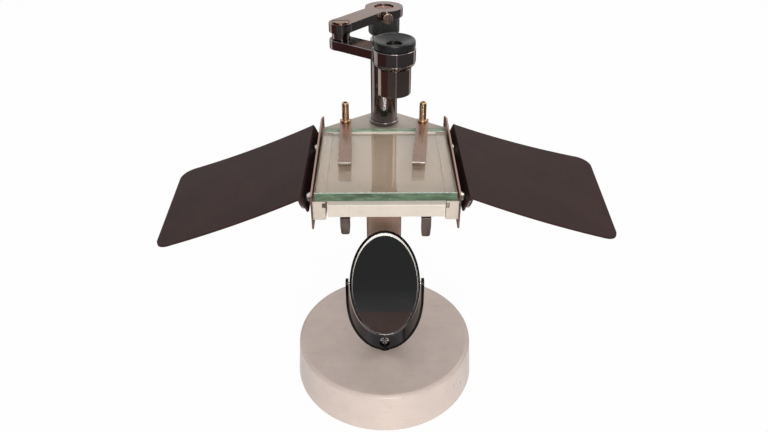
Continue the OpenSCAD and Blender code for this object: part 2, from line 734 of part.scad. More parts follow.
module focus_rod() color(chrome) translate([0, column_y, 0]) difference() {
    union() {
        translate([0, 0, arm_z - rod_in]) cylinder(r = rod_r, h = rod_in - face_gap);
        translate([0, 0, arm_z - 1]) cylinder(r = rod_neck_r, h = cap_seat - arm_z + 1 + face_gap);
    }
    translate([0, 0, cap_seat - cap_reach - hole_end])
        cylinder(r = cap_shank_r + fix_gap, h = cap_reach + 10, $fn = 32);
}

// Plan of an arm of length l between a ring of radius r and the elbow end
module arm_plan(r, l, e) {
    circle(r = r, $fn = 96);
    translate([l, 0]) circle(r = e, $fn = 64);
    translate([0, -arm_w / 2]) square([l, arm_w]);
}

module upper_arm() color(chrome) translate([0, column_y, arm_z]) difference() {
    rotate([0, 0, upper_dir]) linear_extrude(upper_t) arm_plan(ring_r, upper_l, elbow_r);
    translate([0, 0, -1]) cylinder(r = rod_neck_r + run_gap, h = 20);
    translate([0, 0, upper_t - cap_pocket_d]) cylinder(r = cap_pocket_r, h = 20);
    rotate([0, 0, upper_dir]) translate([upper_l, 0, -1]) cylinder(r = elbow_pin_r + fix_gap, h = 20);
    rotate([0, 0, set_dir]) translate([0, 0, (upper_t - cap_pocket_d) / 2]) rotate([0, 90, 0])
        cylinder(r = 1.2 + run_gap, h = 30, $fn = 32);
}

module arm_cap_screw() color(chrome) translate([0, column_y, cap_seat + face_gap]) difference() {
    union() {
        cylinder(r = cap_r, h = cap_pocket_d - 1);
        translate([0, 0, -cap_reach]) cylinder(r = cap_shank_r, h = cap_reach + eps, $fn = 32);
    }
    translate([-10, -0.8, cap_pocket_d - 2.2]) cube([20, 1.6, 3]);
}

module arm_set_screw() color(chrome) translate([0, column_y, arm_z + (upper_t - cap_pocket_d) / 2])
    rotate([0, 0, set_dir]) rotate([0, 90, 0]) {
        translate([0, 0, ring_r + 0.1]) round_disc(set_r, set_head_l, 0.5);
        translate([0, 0, rod_neck_r + 0.2]) cylinder(r = 1.2, h = ring_r - rod_neck_r, $fn = 32);
    }

module elbow_pin() color(chrome) translate([elbow[0], elbow[1], 0]) difference() {
    union() {
        translate([0, 0, arm_top]) cylinder(r1 = elbow_head_r, r2 = elbow_head_r - 0.5, h = elbow_head_h);
        translate([0, 0, elbow_seat]) cylinder(r = elbow_pin_r, h = arm_top - elbow_seat + eps);
    }
    translate([-10, -0.6, arm_top + 0.4]) cube([20, 1.2, 3]);
    translate([0, 0, elbow_seat - 1])
        cylinder(r = screw_r + fix_gap, h = 1 + elbow_grip + hole_end, $fn = 32);
}

module elbow_spacer() color([0.15, 0.15, 0.15]) translate([elbow[0], elbow[1], lower_top + run_gap])
    tube(spacer_r, elbow_pin_r + fix_gap, elbow_gap - run_gap);

module elbow_screw() color(chrome) translate([elbow[0], elbow[1], elbow_seat - run_gap])
    mirror([0, 0, 1]) slotted(elbow_screw_r, 1.8, screw_r, elbow_grip);

module lower_arm() color(chrome) translate([elbow[0], elbow[1], lower_z]) rotate([0, 0, lower_dir])
    difference() {
        union() {
            linear_extrude(lower_t) {
                circle(r = elbow_r, $fn = 64);
                translate([0, -arm_w / 2]) square([lower_l, arm_w]);
            }
            translate([lower_l, 0, 0]) cylinder(r = lens_ring_r, h = lower_t + ring_rise, $fn = 96);
        }
        translate([0, 0, -1]) cylinder(r = elbow_pin_r + run_gap, h = lower_t + 2);
        translate([0, 0, -1]) cylinder(r = elbow_screw_r + pass_gap, h = 1 + elbow_pocket_d);
        translate([lower_l, 0, -1])
            cylinder(r = seat_r + run_gap, h = lower_t + ring_rise + 2, $fn = 96);
    }

module at_lens(z) translate([lens[0], lens[1], z]) children();

module lens_nut() color(chrome) at_lens(nut_z) difference() {
    rotate_extrude($fn = 96) polygon([[0, 0], [nut_r - nut_bevel, 0], [nut_r, nut_bevel],
        [nut_r, nut_h], [0, nut_h]]);
    translate([0, 0, -1]) cylinder(r = seat_r + fix_gap, h = nut_h + 2, $fn = 96);
}

module eyepiece_barrel() color(chrome) at_lens(0) difference() {
    union() {
        translate([0, 0, barrel_z]) cylinder(r = barrel_r, h = barrel_l - fix_gap, $fn = 96);
        translate([0, 0, nut_z - 1]) cylinder(r = seat_r, h = barrel_top - nut_z + 1, $fn = 96);
    }
    translate([0, 0, barrel_z + stop_w]) cylinder(r = barrel_in, h = 100);
    translate([0, 0, barrel_z - 1]) cylinder(r = barrel_in - stop_w, h = 5);
}

module eyecup() color([0.07, 0.07, 0.07]) at_lens(cup_z) difference() {
    rotate_extrude($fn = 96) polygon(concat(
        [[0, run_gap], [cup_r - 0.9, run_gap], [cup_r - 0.5, 0.7], [cup_r, 1.6]],
        corner([cup_r - 1.4, cup_h - 1.4], 1.4, 0, 70, 6),
        [[cup_r - cup_rim - 0.6, cup_h], [cup_r - cup_rim - 1.6, cup_h - 1],
            [cup_hole_r + 1, cup_floor + 0.4], [cup_hole_r, cup_floor], [0, cup_floor]]));
    translate([0, 0, -1]) cylinder(r = seat_r + fix_gap, h = 1 + cup_seat_d, $fn = 96);
    translate([0, 0, -1]) cylinder(r = cup_hole_r, h = 20);
}

// A lens of radius r whose two faces are arcs
module lens_disc(r) {
    n = 6;
    function sag(x) = lens_curve - sqrt(lens_curve * lens_curve - x * x);
    rotate_extrude() polygon(concat([for (i = [0 : n]) [r * i / n, sag(r * i / n)]],
        [for (i = [n : -1 : 0]) [r * i / n, lens_t - sag(r * i / n)]]));
}

module eye_lens() color([0.8, 0.9, 1, 0.5])
    at_lens(barrel_top - face_gap - lens_t) lens_disc(barrel_in - fix_gap);
module field_lens() color([0.8, 0.9, 1, 0.5])
    at_lens(barrel_z + stop_w) lens_disc(barrel_in - fix_gap);
module lens_retainer() color(chrome) at_lens(barrel_z + stop_w + lens_t)
    tube(barrel_in - fix_gap, barrel_in - stop_w, retainer_h);

// Outline of the fork seen from the front: a half oval with straight arms above
module fork_front(a, h) {
    polygon(concat([for (i = [0 : 36]) [-a * cos(5 * i), -h * sin(5 * i)]],
        [[a, fork_top - fork_z - fork_arch], [-a, fork_top - fork_z - fork_arch]]));
}

module mirror_fork() color(chrome) translate([0, -fork_y, fork_z + fork_arch]) difference() {
    union() {
        intersection() {
            translate([0, fork_w / 2, 0]) rotate([90, 0, 0]) linear_extrude(fork_w) difference() {
                fork_front(fork_half, fork_arch);
                translate([0, eps]) fork_front(fork_half - fork_t, fork_arch - fork_t);
                translate([-fork_half + fork_t, 0]) square([2 * (fork_half - fork_t), 90]);
            }
            translate([-50, 0, 0]) rotate([90, 0, 90]) linear_extrude(100) union() {
                polygon([[-fork_w / 2, -fork_arch - 1], [fork_w / 2, -fork_arch - 1],
                    [fork_w / 2, -fork_arch * 0.35], [fork_tip_w / 2, arm_up],
                    [-fork_tip_w / 2, arm_up], [-fork_w / 2, -fork_arch * 0.35]]);
                translate([0, arm_up]) circle(r = fork_tip_w / 2, $fn = 48);
            }
        }
        translate([0, 0, -fork_arch + fork_t - 0.5]) cylinder(r = fork_head_r, h = fork_pad_h + 0.5);
    }
    translate([0, 0, -fork_arch - 1]) cylinder(r = fork_screw_r + run_gap, h = 10, $fn = 48);
    translate([-50, 0, arm_up]) rotate([0, 90, 0]) cylinder(r = pivot_r + fix_gap, h = 100, $fn = 32);
}

module fork_foot() color(chrome) translate([0, -fork_y, base_h])
    tube(fork_foot_r, fork_screw_r + fix_gap, fork_foot_h - run_gap);

module fork_screw() color(chrome) translate([0, -fork_y, fork_seat]) difference() {
    union() {
        intersection() {
            cylinder(r = fork_head_r, h = 3);
            translate([0, 0, -3.2]) sphere(r = 5.6, $fn = 64);
        }
        translate([0, 0, base_h - fork_hole_d + hole_end - fork_seat])
            cylinder(r = fork_screw_r, h = fork_seat - base_h + fork_hole_d - hole_end + eps, $fn = 48);
    }
    translate([-10, -0.5, 1.7]) cube([20, 1, 3]);
}

// Places the children on the mirror's plane: +Z is the front face's normal
module on_mirror() translate([0, -fork_y, pivot_z]) rotate([90 - mirror_lean, 0, 0]) children();

module mirror_cell() color(chrome) on_mirror() difference() {
    union() {
        translate([0, 0, -cell_d / 2 + cell_bevel]) linear_extrude(cell_d - 2 * cell_bevel)
            polygon(oval(cell_a, cell_b));
        for (m = [0, 1]) mirror([0, 0, m]) translate([0, 0, cell_d / 2 - cell_bevel - eps])
            linear_extrude(cell_bevel + eps, scale = (cell_a - cell_bevel) / cell_a)
                polygon(oval(cell_a, cell_b));
    }
    for (m = [0, 1]) mirror([0, 0, m]) translate([0, 0, cell_d / 2 - mirror_t - mirror_sink])
        linear_extrude(5) polygon(oval(cell_a - cell_rim, cell_b - cell_rim));
    for (s = [-1, 1]) translate([s * (cell_a - pivot_in - hole_end), 0, 0]) rotate([0, s * 90, 0])
        cylinder(r = pivot_r + run_gap, h = 10, $fn = 32);
}

module mirror_glass() translate([0, 0, cell_d / 2 - mirror_t - mirror_sink]) linear_extrude(mirror_t)
    polygon(oval(cell_a - cell_rim - fix_gap, cell_b - cell_rim - fix_gap));

module mirror_plane() color([0.15, 0.15, 0.17]) on_mirror() mirror_glass();
module mirror_concave() color([0.15, 0.15, 0.17]) on_mirror() mirror([0, 0, 1]) mirror_glass();

module mirror_pivots() color(chrome) for (s = [-1, 1])
    translate([s * (cell_a - pivot_in), -fork_y, pivot_z]) rotate([0, s * 90, 0])
        cylinder(r = pivot_r, h = fork_half - cell_a + pivot_in, $fn = 32);

base();
column();
column_bolt();
stage_frame();
glass_plate();
slide_plate();
front_bar();
under_spring_left();
under_spring_right();
spring_screws();
side_plate_left();
side_plate_right();
side_plate_screws();
hinge_pins_left();
hinge_pins_right();
hand_rest_left();
hand_rest_right();
thumbscrew_front_left();
thumbscrew_rear_left();
thumbscrew_front_right();
thumbscrew_rear_right();
clip_post_left();
clip_post_right();
clip_strip_left();
clip_strip_right();
pillar();
pillar_foot_ring();
pillar_collar();
focus_rod();
upper_arm();
arm_cap_screw();
arm_set_screw();
elbow_pin();
elbow_spacer();
elbow_screw();
lower_arm();
lens_nut();
eyepiece_barrel();
eyecup();
eye_lens();
field_lens();
lens_retainer();
mirror_fork();
fork_foot();
fork_screw();
mirror_cell();
mirror_plane();
mirror_concave();
mirror_pivots();
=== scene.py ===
"""Dresses the dissecting microscope: pieces, finishes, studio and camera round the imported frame."""
import json
import math

import bmesh
import bpy
from bpy.props import FloatProperty, FloatVectorProperty, IntProperty, PointerProperty
from mathutils import Matrix, Vector


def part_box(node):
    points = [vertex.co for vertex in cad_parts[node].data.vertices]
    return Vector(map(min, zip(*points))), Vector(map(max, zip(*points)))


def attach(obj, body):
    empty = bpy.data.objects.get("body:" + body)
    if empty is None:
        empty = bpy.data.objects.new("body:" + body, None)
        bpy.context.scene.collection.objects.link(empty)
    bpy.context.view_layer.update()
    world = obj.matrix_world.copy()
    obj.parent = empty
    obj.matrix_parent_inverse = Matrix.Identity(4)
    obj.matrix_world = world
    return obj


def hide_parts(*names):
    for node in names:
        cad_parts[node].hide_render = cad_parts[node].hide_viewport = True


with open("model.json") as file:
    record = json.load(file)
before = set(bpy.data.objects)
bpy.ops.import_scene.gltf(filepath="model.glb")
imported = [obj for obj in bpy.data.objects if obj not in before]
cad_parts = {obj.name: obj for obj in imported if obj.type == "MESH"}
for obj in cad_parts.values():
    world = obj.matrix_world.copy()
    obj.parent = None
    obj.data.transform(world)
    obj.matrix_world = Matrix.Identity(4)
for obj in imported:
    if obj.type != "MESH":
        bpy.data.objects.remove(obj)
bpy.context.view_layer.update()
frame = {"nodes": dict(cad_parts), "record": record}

bl_info = {
    "name": "Dissecting Microscope",
    "version": (1, 0, 0),
    "blender": (4, 5, 0),
    "location": "3D View > Sidebar > Microscope",
    "description": "Builds the dressed pieces of a dissecting microscope round its frame",
    "category": "Object",
}

MM = 0.001
BODY_OF = {
    node: body
    for body, nodes in frame["record"]["behaviour"]["bodies"].items()
    for node in nodes
}
UP = Vector((0, 0, 1))

# How faces and edges are told apart
MERGE = 0.002 * MM  # vertices of a CAD copy nearer than this become one
CUT = 0.001 * MM  # a cut nearer than this to a vertex goes through it
FLAT = math.radians(0.3)  # faces that turn by less than this become one
TOUCH = 0.1 * MM  # an edge this near a piece's side lies on it
LEDGE = 1.0 * MM  # an upward face this far below a piece's top lies beside it
UPWARD = 0.95  # least share of a face's normal that points along an axis
TILTED = 0.3  # least share of a slanting face's normal
STEEP = 0.6  # largest upward share of a steep face's normal
GLASS_LIFT = 0.04 * MM  # rise of the glass plate's underside
EAR_REACH = 1.35 * MM  # a side plate's ears begin this far outside its inner face
CLIP_RISE = 1.2 * MM  # a clip's raised lip is painted brighter this far above its lowest point, as a highlight
REST_FLANGE = 0.1  # share of a rest's width in which its steep faces are painted near black, as shade in the gap beside the side plate
REST_HINGE = 0.08  # share of a rest's width that the twist leaves alone
# The mirror's pale bevel band is a painted highlight on its rim.
BEVEL_RIM = 0.24 * MM  # the mirror bevel's outer edge stands this far before the mirror
BEVEL_FOOT = 0.03 * MM  # and its inner edge this far


# Settings that a user would change

def length(name, description, default):
    """A length property in metres, given in millimetres."""
    return FloatProperty(
        name=name, description=description, default=default * MM, min=0.0, unit="LENGTH",
        precision=5,
    )


def colour(name, description, default):
    """A colour property."""
    return FloatVectorProperty(
        name=name, description=description, default=default, size=3, min=0.0, max=1.0,
        subtype="COLOR",
    )


class MicroscopeSizes(bpy.types.PropertyGroup):
    """Sizes of the details that the finish adds to the pieces."""

    paint_edge: length("Painted edges", "Rounding of the painted castings' edges", 0.5)
    arm_edge: length("Arm edges", "Rounding of the arms' polished edges", 1.1)
    sheet_edge: length("Sheet edges", "Rounding of the thin sheets' edges", 0.25)
    screw_edge: length("Screw edges", "Rounding of the screw heads' edges", 0.25)
    glass_edge: length("Glass edges", "Width of the ground bevel round the glass plate", 0.5)
    bar_lip: length("Bar lip", "Width of the bevel along the front bar's top", 2.6)
    # The mirror line and crescent size the painted highlight band round the mirror's rim.
    mirror_line: length("Mirror line", "Width of the mirror's bevel along its sides", 0.2)
    mirror_crescent: length("Mirror crescent", "Width of the mirror's bevel at its top", 2.0)
    rest_lift: length("Rest lift", "Rise of the right rest's rear outer corner", 3.0)
    rest_drop: length("Rest drop", "Fall of the right rest's front outer corner", 2.0)
    edge_steps: IntProperty(
        name="Edge steps", description="Steps across each rounded edge", default=2, min=1, max=4
    )


class MicroscopeColours(bpy.types.PropertyGroup):
    """Colours of the finishes."""

    enamel: colour("Enamel", "Beige enamel of the base", (0.64, 0.53, 0.47))
    frame: colour("Frame enamel", "Enamel of the stage frame", (0.53, 0.455, 0.385))
    bar: colour("Bar enamel", "Pale enamel of the front bar", (0.60, 0.53, 0.455))
    # The column's enamel is set darker than its own tone, as painted shade under the stage.
    column: colour("Column enamel", "Brown enamel of the column", (0.36, 0.22, 0.157))
    plate: colour("Plate paint", "Paint of the plate under the glass", (0.31, 0.24, 0.185))
    lacquer: colour("Lacquer", "Dark brown lacquer of the hand rests", (0.040, 0.0185, 0.0175))
    nickel: colour("Nickel", "Polished nickel of the arms and the pillar", (0.27, 0.245, 0.25))
    steel: colour("Sheet steel", "Steel of the clips and springs", (0.30, 0.235, 0.20))
    bright: colour("Bright steel", "Steel of the screws", (0.55, 0.52, 0.50))
    side: colour("Side plates", "Dull steel of the side plates", (0.40, 0.27, 0.225))
    brass: colour("Brass", "Worn plating of the clip posts", (0.60, 0.41, 0.26))
    plastic: colour("Plastic", "Black plastic of collar and eyecup", (0.016, 0.0165, 0.0165))
    glass: colour("Glass edge", "Green of the glass plate's edge", (0.10, 0.15, 0.093))


class MicroscopeStudio(bpy.types.PropertyGroup):
    """Lamps and floor."""

    fill: FloatProperty(
        name="Fill", description="Strength of the even light from all sides", default=0.43, min=0.0
    )
    key: FloatProperty(
        name="Key", description="Power of the front lamp", default=19.0, min=0.0, unit="POWER"
    )
    back: FloatProperty(
        name="Back", description="Power of the wide lamp behind", default=6.5, min=0.0, unit="POWER"
    )
    floor: FloatProperty(
        name="Floor", description="Share of the floor's white that no shadow darkens",
        default=0.97, min=0.0, max=1.0, subtype="FACTOR",
    )


# Shader maths

class Signal:
    """A socket of a material; arithmetic on it adds Math nodes."""

    def __init__(self, finish, socket):
        self.finish, self.socket = finish, socket

    def math(self, operation, first, second):
        return self.finish.node("ShaderNodeMath", {"operation": operation}, {0: first, 1: second})

    def __add__(self, other):
        return self.math("ADD", self, other)

    def __mul__(self, other):
        return self.math("MULTIPLY", self, other)

    __radd__ = __add__
    __rmul__ = __mul__


class Finish:
    """One procedural material round a Principled shader."""

    def __init__(self, name, **constants):
        self.material = bpy.data.materials.new(name)
        self.material.use_nodes = True
        self.tree = self.material.node_tree
        self.tree.nodes.clear()
        self.output = self.tree.nodes.new("ShaderNodeOutputMaterial")
        self.shader = self.tree.nodes.new("ShaderNodeBsdfPrincipled")
        self.tree.links.new(self.shader.outputs[0], self.output.inputs["Surface"])
        for socket, value in constants.items():
            self.shader.inputs[socket.replace("_", " ")].default_value = value
        self.place = self.node("ShaderNodeTexCoord", out="Object")

    def node(self, kind, settings=None, inputs=None, out=0):
        """Adds a node, its settings first and then its sockets' values or links."""
        made = self.tree.nodes.new(kind)
        for name, value in (settings or {}).items():
            setattr(made, name, value)
        for key, value in (inputs or {}).items():
            self.feed(made.inputs[key], value)
        return Signal(self, made.outputs[out])

    def feed(self, socket, value):
        if isinstance(value, Signal):
            self.tree.links.new(value.socket, socket)
        else:
            socket.default_value = value

    def set(self, socket, value):
        self.feed(self.shader.inputs[socket], value)

    def noise(self, size, detail=2.0, stretch=(1, 1, 1), turn=(0, 0, 0)):
        """Noise with spots of a size in metres, drawn out along an axis by a small stretch."""
        where = self.node(
            "ShaderNodeMapping", None,
            {"Vector": self.place, "Scale": [s / size for s in stretch], "Rotation": turn},
        )
        return self.node(
            "ShaderNodeTexNoise", None, {"Vector": where, "Scale": 1.0, "Detail": detail}
        )

    def spread(self, value, low, high, to_low=0.0, to_high=1.0):
        """Maps a range of a value to another, held at both ends."""
        return self.node(
            "ShaderNodeMapRange", {"clamp": True},
            {
                "Value": value, "From Min": low, "From Max": high,
                "To Min": to_low, "To Max": to_high,
            },
        )

    def mix(self, factor, first, second):
        return self.node(
            "ShaderNodeMix", {"data_type": "RGBA"}, {0: factor, 6: first, 7: second}, out=2
        )

    def bump(self, height, distance, strength=1.0):
        self.set("Normal", self.node(
            "ShaderNodeBump", None, {"Height": height, "Distance": distance, "Strength": strength}
        ))


def scaled(base, factor):
    """A colour made lighter or darker."""
    return [c * factor for c in base]


def tint(base, factor):
    """A colour made lighter or darker, held at white, with full alpha."""
    return [min(1.0, c) for c in scaled(base, factor)] + [1.0]


def enamel(name, base, gloss=0.3, ior=1.42):
    """Brushed-on enamel: cloudy tone, faint orange peel, small dark specks."""
    f = Finish(name, IOR=ior)
    clouds = f.spread(f.noise(0.022, 4.0), 0.3, 0.7)
    streaks = f.spread(f.noise(0.004, 3.0, (0.35, 1.0, 1.6)), 0.3, 0.75)
    tone = f.mix(clouds * 0.6 + streaks * 0.4, tint(base, 0.92), tint(base, 1.06))
    specks = f.spread(f.noise(0.0016, 1.0), 0.70, 0.76)
    f.set("Base Color", f.mix(specks * 0.35, tone, tint(base, 0.55)))
    f.set("Roughness", f.spread(f.noise(0.009, 3.0), 0.25, 0.75, gloss - 0.05, gloss + 0.1))
    f.bump(f.noise(0.0013, 2.0) + streaks * 0.4, 0.00005, 0.45)
    return f


def lacquer(name, base):
    """Dark satin lacquer with a fine grain and a few dull rubs."""
    f = Finish(name, IOR=1.2)
    clouds = f.spread(f.noise(0.03, 4.0), 0.3, 0.7)
    grain = f.noise(0.0007, 2.0)
    tone = f.mix(clouds, tint(base, 0.86), tint(base, 1.12))
    rubs = f.spread(f.noise(0.005, 5.0), 0.66, 0.74)
    f.set("Base Color", f.mix(rubs * 0.4, tone, tint(base, 1.6)))
    f.set("Roughness", f.spread(grain, 0.3, 0.7, 0.5, 0.65))
    f.bump(grain, 0.00005, 0.5)
    return f


def metal(name, base, gloss=0.12, lines=(1.0, 1.0, 0.06), line_size=0.0006, depth=0.3):
    """Polished or turned metal: fine drawn lines, faint stains, uneven gloss."""
    f = Finish(name, Metallic=1.0)
    stains = f.spread(f.noise(0.012, 4.0), 0.3, 0.72)
    drawn = f.noise(line_size, 2.0, lines)
    tone = f.mix(stains, tint(base, 0.84), tint(base, 1.1))
    f.set("Base Color", f.mix(f.spread(drawn, 0.3, 0.7) * 0.35, tone, tint(base, 1.25)))
    f.set("Roughness", f.spread(drawn + stains * 0.5, 0.3, 1.1, gloss * 0.7, gloss * 1.6))
    f.bump(drawn, 0.00002, depth)
    return f


def moulded(name, base):
    """Black moulded plastic with a fine matt skin."""
    f = Finish(name, IOR=1.4)
    skin = f.noise(0.0006, 2.0)
    clouds = f.spread(f.noise(0.01, 3.0), 0.3, 0.7)
    f.set("Base Color", f.mix(clouds, tint(base, 0.8), tint(base, 1.6)))
    f.set("Roughness", f.spread(skin, 0.3, 0.7, 0.2, 0.32))
    f.bump(skin, 0.00004, 0.4)
    return f


def clear(name, base, ior=1.3):
    """Clear glass that lets lamps shine through to what lies under it."""
    f = Finish(name, Transmission_Weight=1.0, IOR=ior)
    smears = f.spread(f.noise(0.03, 4.0, (1.0, 0.5, 1.0)), 0.45, 0.8)
    f.set("Base Color", f.mix(smears, tint(base, 1.0), tint(base, 0.975)))
    f.set("Roughness", f.spread(smears, 0.0, 1.0, 0.0, 0.05))
    through = f.node("ShaderNodeBsdfTransparent", None, {"Color": tint(base, 0.98)})
    ray = f.node("ShaderNodeLightPath", out="Is Shadow Ray")
    mixed = f.node(
        "ShaderNodeMixShader", None, {0: ray, 1: Signal(f, f.shader.outputs[0]), 2: through}
    )
    f.tree.links.new(mixed.socket, f.output.inputs["Surface"])
    return f


def glass_rim(name, base):
    """The cut side of the glass plate: deep green, blotched darker, with fine paler streaks along it.
    """
    f = Finish(name, Specular_IOR_Level=0.7)
    blotch = f.spread(f.noise(0.009, 3.0, (0.6, 1.0, 2.2)), 0.45, 0.72)
    fine = f.spread(f.noise(0.0015, 3.0, (0.2, 0.2, 1.0)), 0.35, 0.65)
    tone = f.mix(fine * 0.5, tint(base, 0.85), tint(base, 1.7))
    f.set("Base Color", f.mix(blotch * 0.75, tone, tint(base, 0.45)))
    f.set("Roughness", f.spread(fine, 0.0, 1.0, 0.12, 0.3))
    f.bump(fine, 0.00006, 0.5)
    return f


def ground(name):
    """Ground bevel of the glass plate, whitish and sparkling."""
    f = Finish(name, Specular_IOR_Level=0.6)
    chips = f.spread(f.noise(0.0012, 3.0), 0.35, 0.65)
    f.set("Base Color", f.mix(chips, (0.10, 0.15, 0.11, 1.0), (0.50, 0.56, 0.50, 1.0)))
    f.set("Roughness", f.spread(chips, 0.0, 1.0, 0.25, 0.5))
    f.bump(chips, 0.00006, 0.6)
    return f


def silvered(name):
    """The mirror's silvering, with faint dust."""
    f = Finish(name, Metallic=1.0)
    dust = f.spread(f.noise(0.004, 5.0), 0.55, 0.85)
    f.set("Base Color", f.mix(dust * 0.4, (0.74, 0.75, 0.76, 1.0), (0.64, 0.62, 0.60, 1.0)))
    f.set("Roughness", f.spread(dust, 0.0, 1.0, 0.012, 0.035))
    return f


def recipes(c):
    """Every finish by name, from the colours in the settings."""
    return {
        "beige_enamel": lambda n: enamel(n, c.enamel),
        "frame_enamel": lambda n: enamel(n, c.frame),
        "bar_enamel": lambda n: enamel(n, c.bar),
        # Paler, glossier enamel on the bar's rounded edges: partly wear, partly a painted highlight
        # line along its top.
        "edge_wear_and_highlight_enamel": lambda n: enamel(n, scaled(c.bar, 1.12), 0.28),
        # The column's enamel, darkened as painted shade under the stage.
        "column_shaded_enamel": lambda n: enamel(n, c.column),
        # Paint of the plate under the glass, also put on the frame's ledges as painted shade under
        # the glass.
        "plate_paint": lambda n: enamel(n, c.plate, 0.5, 1.2),
        # The front bar's top bevel: its enamel darkened as painted shade under the glass's front
        # edge.
        "lip_painted_shade": lambda n: enamel(n, scaled(c.bar, 0.68), 0.4),
        "dark_lacquer": lambda n: lacquer(n, c.lacquer),
        # The rests' lacquer darkened to near black, as painted shade on the flanges in the gap beside
        # the side plates.
        "flange_shade_lacquer": lambda n: lacquer(n, scaled(c.lacquer, 0.35)),
        "dark_nickel": lambda n: metal(n, c.nickel, 0.09, depth=0.03),
        "smoked_nickel": lambda n: metal(n, scaled(c.nickel, 0.35), 0.12, depth=0.03),
        # Nickel tinted brown, painted as the reflection seen on the upper arm's top faces and on the
        # elbow pin.
        "reflection_tinted_nickel": lambda n: metal(n, (0.175, 0.10, 0.073), 0.14, (1.0, 0.2, 1.0), depth=0.05),
        "black_nickel": lambda n: metal(n, scaled(c.nickel, 0.09), 0.16, depth=0.03),
        # Dark brown nickel, painted as the shade and dark reflection under the upper arm on the lower
        # arm's top.
        "shaded_top_nickel": lambda n: metal(n, (0.06, 0.036, 0.03), 0.2, depth=0.05),
        "copper_nickel": lambda n: metal(n, (0.24, 0.13, 0.095), 0.3),
        "warm_steel": lambda n: metal(n, (0.42, 0.30, 0.24), 0.22, depth=0.05),
        "spring_steel": lambda n: metal(n, scaled(c.steel, 0.8), 0.4),
        "clip_steel": lambda n: metal(n, (0.30, 0.205, 0.165), 0.26, (1.0, 0.05, 1.0)),
        "barrel_nickel": lambda n: metal(n, (0.36, 0.31, 0.285), 0.09, depth=0.03),
        "bright_steel": lambda n: metal(n, c.bright, 0.2, (0.4, 0.4, 1.0), 0.0012, 0.08),
        "side_steel": lambda n: metal(n, c.side, 0.38, (1.0, 0.06, 1.0), 0.0009, 0.5),
        "post_brass": lambda n: metal(n, c.brass, 0.24),
        "collar_plastic": lambda n: moulded(n, scaled(c.plastic, 1.7)),
        "cup_plastic": lambda n: moulded(n, scaled(c.plastic, 0.75)),
        "clear_glass": lambda n: clear(n, (0.985, 0.985, 0.965)),
        "lens_glass": lambda n: clear(n, (0.97, 0.98, 0.99), 1.52),
        "glass_rim": lambda n: glass_rim(n, c.glass),
        "ground_glass": ground,
        "silvering": silvered,
        # A pale enamel band, painted as the highlight on the mirror's rim.
        "mirror_highlight_band": lambda n: enamel(n, (0.62, 0.585, 0.51), 0.25, 1.5),
    }


def finish(name):
    """The material of this name, made the first time that a piece asks for it."""
    full = "finish_" + name
    made = bpy.data.materials.get(full)
    return made or recipes(bpy.context.scene.microscope_colours)[name](full).material


# Mesh tools

def sizes():
    """The sizes in the settings."""
    return bpy.context.scene.microscope_sizes


def copy_of(node):
    """A copy of a CAD node's mesh, merged, with its flat faces joined."""
    bm = bmesh.new()
    bm.from_mesh(frame["nodes"][node].data)
    bmesh.ops.remove_doubles(bm, verts=bm.verts, dist=MERGE)
    bmesh.ops.dissolve_limit(bm, angle_limit=FLAT, verts=bm.verts, edges=bm.edges)
    return bm


def ease(bm, width, turn=35.0):
    """Rounds the edges that turn by more than an angle, and returns the new faces."""
    edges = [e for e in bm.edges if e.is_manifold and e.calc_face_angle() > math.radians(turn)]
    made = bmesh.ops.bevel(
        bm, geom=edges, offset=width, offset_type="OFFSET", segments=sizes().edge_steps,
        profile=0.5, affect="EDGES", clamp_overlap=True, material=-1, loop_slide=True,
    )
    return made["faces"]


def piece(bm, node, finishes, sharp=34.0, weighted=True):
    """Makes the piece that stands for a CAD node, in its place and on its body."""
    name = "dressed_" + node
    mesh = bpy.data.meshes.new(name)
    bm.to_mesh(mesh)
    bm.free()
    for each in finishes:
        mesh.materials.append(finish(each))
    mesh.shade_smooth()
    mesh.set_sharp_from_angle(angle=math.radians(sharp))
    made = bpy.data.objects.new(name, mesh)
    bpy.context.scene.collection.objects.link(made)
    if weighted:
        even = made.modifiers.new("Even shading", "WEIGHTED_NORMAL")
        even.keep_sharp = True
    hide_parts(node)
    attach(made, BODY_OF[node])


def dress(node, main, edge, top=None):
    """A CAD node's copy with rounded edges; its upward faces may have a finish of their own, which
    paints in the reflection that top faces show.
    """
    bm = copy_of(node)
    ease(bm, edge)
    finishes = [main]
    if top:
        finishes.append(top)
        bm.normal_update()
        for face in bm.faces:
            face.material_index = int(face.normal.z > UPWARD)
    piece(bm, node, finishes)


def keep(node, name):
    """Gives a finish to a CAD node that is shown as it is."""
    node = frame["nodes"][node]
    if node.material_slots:
        node.material_slots[0].material = finish(name)
    else:
        node.data.materials.append(finish(name))


class PieceOperator:
    """What the operators of the pieces share."""

    bl_options = {"REGISTER", "UNDO"}

    def execute(self, context):
        self.build(sizes())
        return {"FINISHED"}


class MICROSCOPE_OT_base(PieceOperator, bpy.types.Operator):
    """The heavy round base with its enamel."""

    bl_idname = "microscope.base"
    bl_label = "Base"

    def build(self, s):
        dress("base", "beige_enamel", s.paint_edge)


class MICROSCOPE_OT_column(PieceOperator, bpy.types.Operator):
    """The column and the bolt that holds it from below."""

    bl_idname = "microscope.column"
    bl_label = "Column"

    def build(self, s):
        dress("column", "column_shaded_enamel", s.paint_edge)
        dress("column_bolt", "bright_steel", s.screw_edge)


